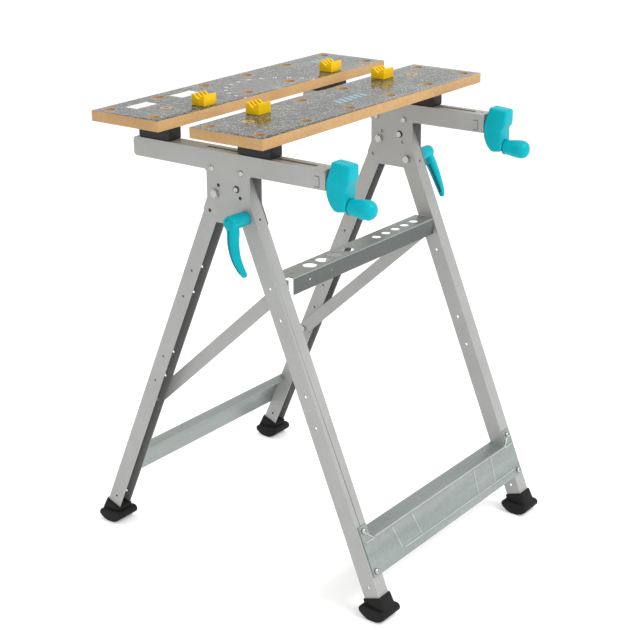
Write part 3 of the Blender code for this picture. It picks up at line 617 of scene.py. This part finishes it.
def dog(node, body):
    """A dog's block on its round peg, with four upright fins along its rear lobe."""
    low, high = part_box(node)
    x, peg_y = (low.x + high.x) / 2, low.y + DOG_FRONT
    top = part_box("rear_jaw")[1].z
    half = (high.x - low.x) / 2
    base = [(-DOG_FRONT, 0.0003), (0.0111, 0.0003), (0.0111, 0.0150), (0.0051, 0.0145),
            (-0.0037, 0.0100), (-0.0097, 0.0166), (-0.0155, 0.0195), (-DOG_FRONT, 0.0190)]
    fin = [(0.0111, 0.0120), (0.0111, 0.0188), (0.0104, 0.0196), (0.0051, 0.0192), (-0.0037, 0.0113),
           (-0.0030, 0.0090)]
    raised = lambda outline: [(peg_y + along, top + up) for along, up in outline]
    block = mesh_object(f"{node}_block", outline_shape(raised(base), x - half, x + half), YELLOW)
    rounded(block, 0.0008, 2, 25)
    thickness = 0.0040
    pitch = (2 * half - thickness) / 3
    fins = []
    for step in range(4):
        start = x - half + pitch * step
        fins.append(outline_shape(raised(fin), start, start + thickness))
    cut(block, rounded(mesh_object("fins", merged(fins), YELLOW), 0.0005, 2, 25), "UNION")
    peg = mesh_object("peg", rod_shape((x, peg_y, low.z), (x, peg_y, top + 0.003), 0.0094, 40), YELLOW)
    cut(block, peg, "UNION")
    block.data.materials.clear()
    block.data.materials.append(YELLOW)
    for face in block.data.polygons:
        face.material_index = 0
    stands_for(smooth(block, 40), node, body)


# ---------------------------------------------------------------- cranks and levers

def crank(side):
    """A flat moulded arm, thinner above its crease, with a collar line where the knob starts."""
    node = f"crank_{side}"
    low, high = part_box(node)
    x, half = (low.x + high.x) / 2, (high.x - low.x) / 2
    front, crease = low.y, high.z - 0.0285
    route = [(0.0000, -0.0030), (0.0015, -0.0265), (0.0032, -0.0320), (0.0060, -0.0345), (0.0075, -0.0390),
             (0.0075, -0.0772), (0.0240, -0.0797), (0.0300, -0.0780), (0.0370, -0.0705), (0.0415, -0.0620),
             (0.0447, -0.0525), (0.0447, -0.0350), (0.0430, -0.0275), (0.0395, -0.0165),
             (0.0372, -0.0080), (0.0360, 0.0)]
    outline = [(front + a, high.z + b) for a, b in route]
    shape = outline_shape(outline, x - half, x + half)
    everything = shape.verts[:] + shape.edges[:] + shape.faces[:]
    bmesh.ops.bisect_plane(shape, geom=everything, plane_co=(0, 0, crease), plane_no=(0, 0, 1))
    for vertex in shape.verts:
        rise = max(0.0, vertex.co.z - crease)
        vertex.co.x -= math.copysign(0.11 * rise, vertex.co.x - x)
    body = mesh_object(f"{node}_body", shape, TEAL)
    rounded(body, 0.0048, 5, 50)
    smooth(body, 50)
    for edge in body.data.edges:
        ends = [body.data.vertices[i].co for i in edge.vertices]
        if all(abs(end.z - crease) < 0.0002 and abs(end.x - x) > half - 0.0008 for end in ends):
            edge.use_edge_sharp = True
    stands_for(body, node, node)
    root = (x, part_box(f"crank_knob_{side}")[1].y, middle(f"crank_knob_{side}").z)
    seam = spun([(0, -0.0004), (0.0136, -0.0004), (0.0136, 0.0006), (0, 0.0006)], root, (0, -1, 0), 40)
    extra(smooth(mesh_object(f"{node}_collar", seam, DARK)), node)


def knob(side):
    node = f"crank_knob_{side}"
    low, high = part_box(node)
    centre = (low + high) / 2
    radius = (high.x - low.x) / 2
    length = high.y - low.y
    straight = length - 0.014
    profile = [(0, 0), (0.0128, 0), (0.0130, 0.0008), (0.0132, 0.0050), (0.0140, 0.0120), (0.0151, 0.0185),
               (0.0158, 0.0250), (0.0161, 0.0295), (radius, straight)]
    dome = 14
    for step in range(1, dome + 1):
        turn = math.pi / 2 * step / dome
        wide = radius * math.cos(turn) ** 0.9 if step < dome else 0
        profile.append((wide, straight + (length - straight) * math.sin(turn)))
    shape = spun(profile, (centre.x, high.y, centre.z), (0, -1, 0), 56)
    stands_for(smooth(mesh_object(f"{node}_grip", shape, TEAL), 60), node, f"knob_{side}")


def lever(side):
    """A hub on the clamp bolt and a curved handle with a groove along its outer face."""
    sign = SIDES[side]
    node = f"clamp_lever_{side}"
    low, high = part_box(node)
    pivot = middle(f"clamp_bolt_{side}")
    inner = min(abs(low.x), abs(high.x))
    hub_end = inner + HUB_LENGTH
    profile = [(0, inner), (0.0112, inner), (0.0118, inner + 0.0010), (0.0123, inner + 0.018),
               (0.0125, hub_end - 0.004), (0.0120, hub_end - 0.0012), (0.0106, hub_end),
               (0.0084, hub_end), (0.0078, hub_end - 0.0008), (0.0075, hub_end - 0.0060),
               (0, hub_end - 0.0060)]
    hub = spun(profile, (0, pivot.y, pivot.z), (sign, 0, 0), 48)
    route = [(-0.0090, 0.0030, 0.0025, 0.0108, 0.0088), (-0.0060, -0.0042, -0.0125, 0.0104, 0.0088),
             (0.0010, -0.0100, -0.0325, 0.0092, 0.0084), (0.0043, -0.0175, -0.0535, 0.0078, 0.0074),
             (0.0032, -0.0255, -0.0700, 0.0064, 0.0060), (0.0002, -0.0312, -0.0808, 0.0048, 0.0044)]
    dense = curve_points([(hub_end + a, pivot.y + b, pivot.z + c) for a, b, c, _, _ in route], 6)
    widths = curve_points([(w, t, 0) for _, _, _, w, t in route], 6)
    rings, face = [], []
    for i, here in enumerate(dense):
        along = (dense[min(i + 1, len(dense) - 1)] - dense[max(i - 1, 0)]).normalized()
        out = Vector((1, 0, 0))
        out = (out - along * out.dot(along)).normalized()
        across = along.cross(out)
        centre = Vector(here)
        offsets = squircle(across * widths[i].x, out * widths[i].y, 0.72, 28)
        rings.append([centre + offset for offset in offsets])
        face.append((centre, out, widths[i].y))
    start, end = rings[0], rings[-1]
    tip_along = (dense[-1] - dense[-3]).normalized()
    middle_of = lambda ring: sum(ring, Vector()) / len(ring)
    for reach, scale in ((0.0016, 0.86), (0.0028, 0.60), (0.0034, 0.28)):
        rings.append([middle_of(end) + (point - middle_of(end)) * scale + tip_along * reach
                      for point in end])
    rings.insert(0, [middle_of(start) + (point - middle_of(start)) * 0.7 + Vector((0, 0, 0.004))
                     for point in start])
    for ring in rings:
        for point in ring:
            point.x *= sign
    handle = mesh_object("handle", loft(rings), TEAL)
    inner_line = [Vector(((c.x - out.x * thick) * sign, c.y - out.y * thick, c.z - out.z * thick))
                  for c, out, thick in face[8:-3]]
    outer_line = [Vector(((c.x + out.x * thick) * sign, c.y + out.y * thick + 0.0025, c.z + out.z * thick))
                  for c, out, thick in face[6:-3]]
    # Each groove is cut, then a dark teal strip is laid along its bottom: painted shade.
    strips = []
    for line, wide, deep, way in ((inner_line, 0.0040, 0.0024, 1), (outer_line, 0.0016, 0.0014, -1)):
        cut(handle, mesh_object("groove", tube(line, wide, deep, Vector((sign, 0, 0)))))
        sunk = [point + Vector((way * sign * (deep - 0.0003), 0, 0)) for point in line]
        strips.append(tube(sunk, wide * 0.92, 0.0004, Vector((sign, 0, 0))))
    extra(mesh_object(f"{node}_painted_groove_shade", merged(strips), TEAL_SHADE), f"lever_{side}")
    handle_shape = bmesh.new()
    handle_shape.from_mesh(handle.data)
    bpy.data.objects.remove(handle, do_unlink=True)
    grip = mesh_object(f"{node}_grip", merged([hub, handle_shape]), TEAL)
    for face_made in grip.data.polygons:
        face_made.material_index = 0
    stands_for(smooth(grip, 45), node, f"lever_{side}")
    # A dark disc at the bottom of the hub's socket: painted shade.
    shade = spun([(0, 0), (0.0073, 0), (0.0073, 0.0006), (0, 0.0006)],
                 (sign * (hub_end - 0.0057), pivot.y, pivot.z), (sign, 0, 0), 32)
    extra(mesh_object(f"{node}_recess", shade, DARK), f"lever_{side}")


# ---------------------------------------------------------------- fasteners

def cross_hex(node, body, radius, head="hex"):
    """A bolt through the sheet: a washer and a hexagonal, domed or ringed head, and a nut behind."""
    low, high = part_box(node)
    centre = (low + high) / 2
    sign = 1 if centre.x > 0 else -1
    shank = (low.x + 0.002, centre.y, centre.z), (high.x - 0.002, centre.y, centre.z)
    shapes = [rod_shape(*shank, 0.0038, 20)]
    for end in (-1, 1):
        tip = high.x if end > 0 else low.x
        height = 0.0040
        root = Vector((tip - end * height, centre.y, centre.z))
        if head != "hex" and end == sign:
            dome = [(0, 0), (radius, 0), (radius, 0.0009), (radius * 0.90, 0.0022), (radius * 0.66, 0.0033),
                    (radius * 0.34, height)]
            dimple = [(radius * 0.24, height - 0.0006), (0, height - 0.0009)]
            shapes.append(spun(dome + dimple, root, (end, 0, 0), 36))
            continue
        corners = [math.radians(60 * k + 15) for k in range(6)]
        levels = ((radius * 0.97, 0.0), (radius, 0.0004), (radius, height - 0.0008), (radius * 0.93, height))
        hexagon = [[root + Vector((end * along, r * math.cos(a), r * math.sin(a))) for a in corners]
                   for r, along in levels]
        shapes.append(loft(hexagon))
        washer = [(0, 0), (radius * 1.10, 0), (radius * 1.10, 0.0011), (0, 0.0011)]
        shapes.append(spun(washer, root, (end, 0, 0), 36))
    bolt = mesh_object(f"{node}_detail", merged(shapes), ZINC)
    if head == "ringed":
        bolt.data.materials.append(DULL_ZINC)
        for polygon in bolt.data.polygons:
            away = math.hypot(polygon.center.y - centre.y, polygon.center.z - centre.z)
            if away > radius * 0.5:
                polygon.material_index = 1
    stands_for(smooth(bolt), node, body)


def fasteners():
    for side in SIDES:
        cross_hex(f"leg_bolt_{side}", "frame", 0.0078)
        cross_hex(f"stop_pin_{side}", "frame", 0.0062, "ringed")
        cross_hex(f"rear_rivet_{side}", "frame", 0.0056, "dome")
        cross_hex(f"front_rivet_{side}", "frame", 0.0056, "dome")
        cross_hex(f"stay_pivot_bolt_{side}", "frame", 0.0062)
        cross_hex(f"hook_pin_{side}", "front_legs", 0.0055, "dome")
        keep(f"clamp_bolt_{side}", ZINC, 0.0003)


def plate_screw(node, body, facing):
    """A domed screw head with a cross recess, square to the leg's web."""
    low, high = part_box(node)
    centre = (low + high) / 2
    slope = LEG_SLOPE[facing]
    out = Vector((0, facing, slope)).normalized()
    outer = sum(out[i] * (high[i] if out[i] > 0 else low[i]) for i in range(3))
    head_r = (high.x - low.x) / 2
    reach = outer - centre.dot(out)
    tip = centre + out * (reach - head_r * min(abs(out.y), abs(out.z)) * 0.82)
    profile = [(0, -0.0125), (0.0022, -0.0125), (0.0022, -0.0034), (head_r, -0.0034),
               (head_r * 0.99, -0.0024), (head_r * 0.84, -0.0011), (head_r * 0.55, -0.0002), (0, 0)]
    screw = mesh_object(f"{node}_head", spun(profile, tip, out, 32), ZINC)
    for turn in (20, 110):
        facing_out = Matrix.Translation(tip) @ out.to_track_quat("Z", "Y").to_matrix().to_4x4()
        spin = facing_out @ Matrix.Rotation(math.radians(turn), 4, "Z")
        slot = box_shape((-0.0030, -0.0006, -0.0014), (0.0030, 0.0006, 0.001), spin)
        cut(screw, mesh_object("recess", slot))
    stands_for(smooth(screw), node, body)


# ---------------------------------------------------------------- sheet metal

def leg_line(facing, z):
    """Y of the middle of the front (-1) or back (1) legs at height z."""
    if facing < 0:
        pivot = middle("clamp_bolt_left")
        return pivot.y - (pivot.z - z) * LEG_SLOPE[-1]
    return BACK_LEG_FLOOR_Y - LEG_SLOPE[1] * z


def is_fold(edge):
    """Whether an edge is a long corner between two broad faces of a sheet."""
    if len(edge.link_faces) != 2 or edge.calc_length() < 0.022:
        return False
    if not math.radians(60) < edge.calc_face_angle() < math.radians(120):
        return False
    start = edge.verts[0].co
    along = (edge.verts[1].co - start).normalized()
    reach = lambda face: max((v.co - start).cross(along).length for v in face.verts)
    return all(reach(face) > 0.004 for face in edge.link_faces)


def folded(node, looks, channel_middle=None, fold=0.0024):
    """A copy of the CAD sheet with round folds, its channel side in the second look, which paints the shade
    inside the channel.
    """
    shape = bmesh.new()
    shape.from_mesh(nodes[node].data)
    bmesh.ops.transform(shape, matrix=nodes[node].matrix_world, verts=shape.verts)
    bmesh.ops.remove_doubles(shape, verts=shape.verts, dist=0.00001)
    bmesh.ops.dissolve_limit(shape, angle_limit=math.radians(0.5), verts=shape.verts[:],
                             edges=shape.edges[:])
    for convex, width, segments in ((True, fold, 4), (False, fold - SHEET_THICKNESS, 3)):
        corners = [edge for edge in shape.edges if is_fold(edge) and edge.is_convex == convex]
        if corners:
            bmesh.ops.bevel(shape, geom=corners, offset=width, offset_type="OFFSET", segments=segments,
                            profile=0.5, affect="EDGES", clamp_overlap=True)
    if channel_middle:
        for face in shape.faces:
            centre = face.calc_center_median()
            if face.normal.dot(channel_middle(centre) - centre) > 0.008:
                face.material_index = 1
    return mesh_object(f"{node}_folded", shape, *looks)


def crisp(obj, rim=0.0003):
    """Softens the cut rims a little and shades each face of the sheet flat."""
    bevel = obj.modifiers.new("rims", "BEVEL")
    bevel.width = rim
    bevel.segments = 2
    bevel.limit_method = "ANGLE"
    bevel.angle_limit = math.radians(40)
    smooth(obj, 40)
    normals = obj.modifiers.new("normals", "WEIGHTED_NORMAL")
    normals.keep_sharp = True
    return obj


def beam(side):
    sign = SIDES[side]
    node = f"beam_{side}"
    low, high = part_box(node)
    middle_at = lambda centre: Vector((sign * FRAME_X, centre.y, BEAM_MIDDLE_Z))
    # Faces inside the channel take the darker copy of the paint: painted shade.
    obj = folded(node, (STEEL, STEEL_PAINTED_SHADE), middle_at)
    outer = high.x if sign > 0 else low.x
    y, z = low.y + 0.0017, high.z - 0.0036
    cut(obj, mesh_object("side_hole", rod_shape((outer - 0.004, y, z), (outer + 0.004, y, z), 0.0012, 20)))
    x, y = sign * FRAME_X, low.y + 0.013
    down = rod_shape((x, y, high.z - 0.005), (x, y, high.z + 0.005), 0.0020, 20)
    cut(obj, mesh_object("top_hole", down))
    stands_for(crisp(obj), node, "frame")
    pivot = middle(f"clamp_bolt_{side}")
    # Dark discs sunk just below the face of three gusset holes: painted shade inside the holes.
    dark = []
    for away_y, away_z in ((0.0562, 0.0465), (0.0105, 0.0312), (0.0763, 0.0005)):
        start = (outer - sign * 0.0014, pivot.y + away_y, pivot.z + away_z)
        dark.append(rod_shape(start, (outer - sign * 0.0004, start[1], start[2]), 0.00325, 24))
    extra(mesh_object(f"{node}_hole_shade", merged(dark), PAINTED_SHADE_MARK), "frame")
    # Thin dark strokes round the lanced mark on the beam's side: painted shade along its edges.
    marks = []
    face = low.x
    strokes = ((0.0111, 0.0121, -0.0293, -0.0116), (0.0116, 0.0207, -0.0122, -0.0112),
               (0.0116, 0.0207, -0.0296, -0.0286))
    for y0, y1, z0, z1 in strokes:
        marks.append(box_shape((face - 0.00012, low.y + y0, high.z + z0),
                               (face + 0.0005, low.y + y1, high.z + z1)))
    extra(mesh_object(f"{node}_lance_painted_shade", merged(marks), PAINTED_SHADE_MARK), "frame")


def leg(node, side, facing, body):
    middle_at = lambda centre: Vector((SIDES[side] * FRAME_X, leg_line(facing, centre.z), centre.z))
    # Faces inside the leg's channel take the darker copy of the paint: painted shade.
    stands_for(crisp(folded(node, (STEEL, STEEL_PAINTED_SHADE), middle_at)), node, body)


def tray():
    """The folded tool tray: round holes, a front flange with small holes, darkened with painted shade, and
    three slots.
    """
    low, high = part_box("tool_tray")
    sheet, fold = SHEET_THICKNESS, 0.0022
    outer, inner = [], []
    for step in range(6):
        turn = math.pi / 2 * step / 5
        outer.append((low.y + fold - fold * math.cos(turn), high.z - fold + fold * math.sin(turn)))
        inner.append((low.y + fold - (fold - sheet) * math.cos(turn),
                      high.z - fold + (fold - sheet) * math.sin(turn)))
    lip = 0.003
    rear_lip = [(high.y - 0.0012, high.z), (high.y, high.z - 0.0012), (high.y, high.z - lip),
                (high.y - sheet, high.z - lip), (high.y - sheet, high.z - sheet)]
    outline = [(low.y, low.z)] + outer + rear_lip + inner[::-1] + [(low.y + sheet, low.z)]
    obj = mesh_object("tool_tray_folded", outline_shape(outline, low.x, high.x), SHEET, SHEET_SHADED)
    trim = box_shape((low.x - 0.01, low.y - 0.01, low.z - 0.01),
                     (low.x + 0.013, low.y + 0.012, high.z + 0.01))
    cut(obj, mesh_object("left_trim", trim))
    middle_y = high.y - 0.0215
    down = lambda x, radius: rod_shape((x, middle_y, high.z - 0.01), (x, middle_y, high.z + 0.01),
                                       radius, 40)
    big = [down(x, 0.0125) for x in (-0.137, -0.101, -0.065, -0.029)]
    cut(obj, mesh_object("big_holes", merged(big)))
    small = [down(x, 0.0085) for x in (0.062, 0.092, 0.122, 0.152, 0.182)]
    cut(obj, mesh_object("small_holes", merged(small)))
    through = lambda x, z: rod_shape((x, low.y - 0.005, z), (x, low.y + 0.005, z), 0.0020, 20)
    flange = [through(x, high.z - drop)
              for x, drop in ((-0.1625, 0.0145), (-0.1012, 0.0145), (0.209, 0.013))]
    cut(obj, mesh_object("flange_holes", merged(flange)))
    slots = [box_shape((x - 0.0008, middle_y - 0.0050, high.z - 0.005),
                       (x + 0.0008, middle_y + 0.0002, high.z + 0.005)) for x in (-0.196, -0.191, -0.186)]
    cut(obj, mesh_object("slots", merged(slots)))
    # Faces of the upright front flange below the fold take the darker copy of the sheet: painted shade.
    for face in obj.data.polygons:
        face.material_index = 1 if face.normal.y < -0.85 and face.center.z < high.z - 0.003 else 0
    stands_for(crisp(obj, 0.0002), "tool_tray", "stay")


def pressed(facing, x_z, half_width=0.0014, rise=0.0012):
    """A pressed rib along (x, z) points on the outer face of a cross plate."""
    slope = LEG_SLOPE[facing]
    out = Vector((0, facing, slope)).normalized()
    points = []
    for (x0, z0), (x1, z1) in zip(x_z, x_z[1:]):
        for step in range(4):
            part = step / 4
            points.append((x0 + (x1 - x0) * part, z0 + (z1 - z0) * part))
    points.append(x_z[-1])
    lifted = []
    for x, z in points:
        web = leg_line(facing, z) + facing * LEG_DEPTH / 2 * math.sqrt(1 + slope ** 2)
        lifted.append(Vector((x, web, z)) + out * (SHEET_THICKNESS + 0.0003))
    return tube(lifted, half_width, rise, out)


def cross_plate(node, body, facing, ribs):
    stands_for(crisp(folded(node, (SHEET,))), node, body)
    # The pressed ribs are drawn in the lighter copy of the sheet: painted highlight along their crests.
    pressings = mesh_object(f"{node}_pressings", merged([pressed(facing, rib) for rib in ribs]), SHEET_PAINTED_HIGHLIGHT)
    extra(smooth(pressings, 60), body)


def step_ribs():
    ribs = [[(-0.150, 0.0870), (0.230, 0.0870)], [(-0.216, 0.1312), (0.216, 0.1312)]]
    for sign in (-1, 1):
        ribs += [[(sign * 0.165, 0.128), (sign * 0.156, 0.0895)],
                 [(sign * 0.104, 0.128), (sign * 0.095, 0.0895)]]
        ribs += [[(sign * 0.240, 0.1475), (sign * 0.217, 0.1294)],
                 [(sign * 0.217, 0.1294), (sign * 0.2440, 0.1303)]]
    return ribs


def rear_ribs():
    return [[(sign * x, 0.138), (sign * x, 0.088)] for sign in (-1, 1) for x in (0.060, 0.150)]


def foot(node, facing, body):
    """A rocker foot: a thick crescent sole and a tapered collar round the leg's end."""
    low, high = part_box(node)
    x, half = (low.x + high.x) / 2, (high.x - low.x) / 2
    slope = LEG_SLOPE[facing]
    radius = 0.034
    drop = radius * math.sin(math.radians(80))
    turns = [math.radians(a) for a in (*range(-136, -99, 4), *range(-80, -45, 4))]
    arc = [(radius * math.cos(turn), drop + radius * math.sin(turn)) for turn in turns]
    crown = [(0.0255, 0.0103), (0.0272, 0.0130), (0.0278, 0.0160), (0.0272, 0.0192), (0.0252, 0.0218),
             (0.0222, 0.0234), (0.0190, 0.0238), (-0.0170, 0.0214), (-0.0215, 0.0203), (-0.0241, 0.0182),
             (-0.0253, 0.0155), (-0.0254, 0.0130)]
    sole_middle = facing * SOLE_Y
    outline = [(sole_middle - facing * a, low.z + b) for a, b in arc + crown]
    sole = rounded(mesh_object("sole", outline_shape(outline, x - half, x + half), RUBBER), 0.0024, 3, 60)
    up = Vector((0, -facing * slope, 1)).normalized()
    across, forward = Vector((1, 0, 0)), Vector((0, facing, slope)).normalized()
    root = Vector((x, leg_line(facing, low.z + 0.026), low.z + 0.026))
    rings = []
    sections = ((-0.0150, 0.0196, 0.0200), (-0.0080, 0.0193, 0.0198), (0.0020, 0.0188, 0.0194),
                (0.0100, 0.0184, 0.0190), (0.0124, 0.0181, 0.0187), (0.0130, 0.0173, 0.0179))
    for along, wide, deep in sections:
        ring = [root + up * along + offset for offset in squircle(across * wide, forward * deep, 0.32, 40)]
        if along > 0:
            for point in ring:
                lean = (point - root).dot(forward) / 0.019
                point -= up * (0.0010 * (lean + 1))
        rings.append(ring)
    collar = mesh_object("collar", loft(rings), RUBBER)
    sole_shape, collar_shape = bmesh.new(), bmesh.new()
    sole_shape.from_mesh(sole.data)
    collar_shape.from_mesh(collar.data)
    for part in (sole, collar):
        bpy.data.objects.remove(part, do_unlink=True)
    whole = mesh_object(f"{node}_rubber", merged([sole_shape, collar_shape]), RUBBER)
    stands_for(smooth(whole, 50), node, body)


def sheet_metal():
    for side in SIDES:
        beam(side)
        leg(f"front_leg_{side}", side, -1, "front_legs")
        leg(f"back_leg_{side}", side, 1, "frame")
        keep(f"stay_arm_{side}", STEEL, 0.0005, 2)
        keep(f"spindle_{side}", ZINC, 0.0002, 1)
        keep(f"jaw_nut_{side}", ZINC, 0.0004, 1)
        for spacer in (f"rear_spacer_{side}", f"front_spacer_{side}"):
            keep(spacer, BLACK, 0.0008)
        foot(f"front_foot_{side}", -1, "front_legs")
        foot(f"back_foot_{side}", 1, "frame")
        plate_screw(f"rear_brace_screw_{side}", "frame", 1)
        plate_screw(f"step_upper_screw_{side}", "front_legs", -1)
        plate_screw(f"step_lower_screw_{side}", "front_legs", -1)
    tray()
    cross_plate("front_step_plate", "front_legs", -1, step_ribs())
    cross_plate("rear_brace_plate", "frame", 1, rear_ribs())


def floor():
    ground = mesh_object("floor", box_shape((-40, -40, -0.02), (40, 40, -0.0001)))
    look = bpy.data.materials.new("floor_white")
    look.use_nodes = True
    shader = look.node_tree.nodes["Principled BSDF"]
    shader.inputs["Base Color"].default_value = (0.92, 0.92, 0.92, 1)
    shader.inputs["Roughness"].default_value = 0.8
    shader.inputs["Emission Color"].default_value = (1, 1, 1, 1)
    shader.inputs["Emission Strength"].default_value = 0.2
    ground.data.materials.append(look)


jaw("rear_jaw", "frame", (0.207, 0.106), 0.137, (0.0785, 0.098))
jaw("front_jaw", "front_jaw", (-0.011, -0.112), -0.040)
labels()
jaw_screws()
for row, body in (("rear", "rear_dog"), ("front", "front_dog")):
    for side in SIDES:
        dog(f"{row}_dog_{side}", f"{row}_dog_{side}")
for side in SIDES:
    crank(side)
    knob(side)
    lever(side)
fasteners()
sheet_metal()
floor()
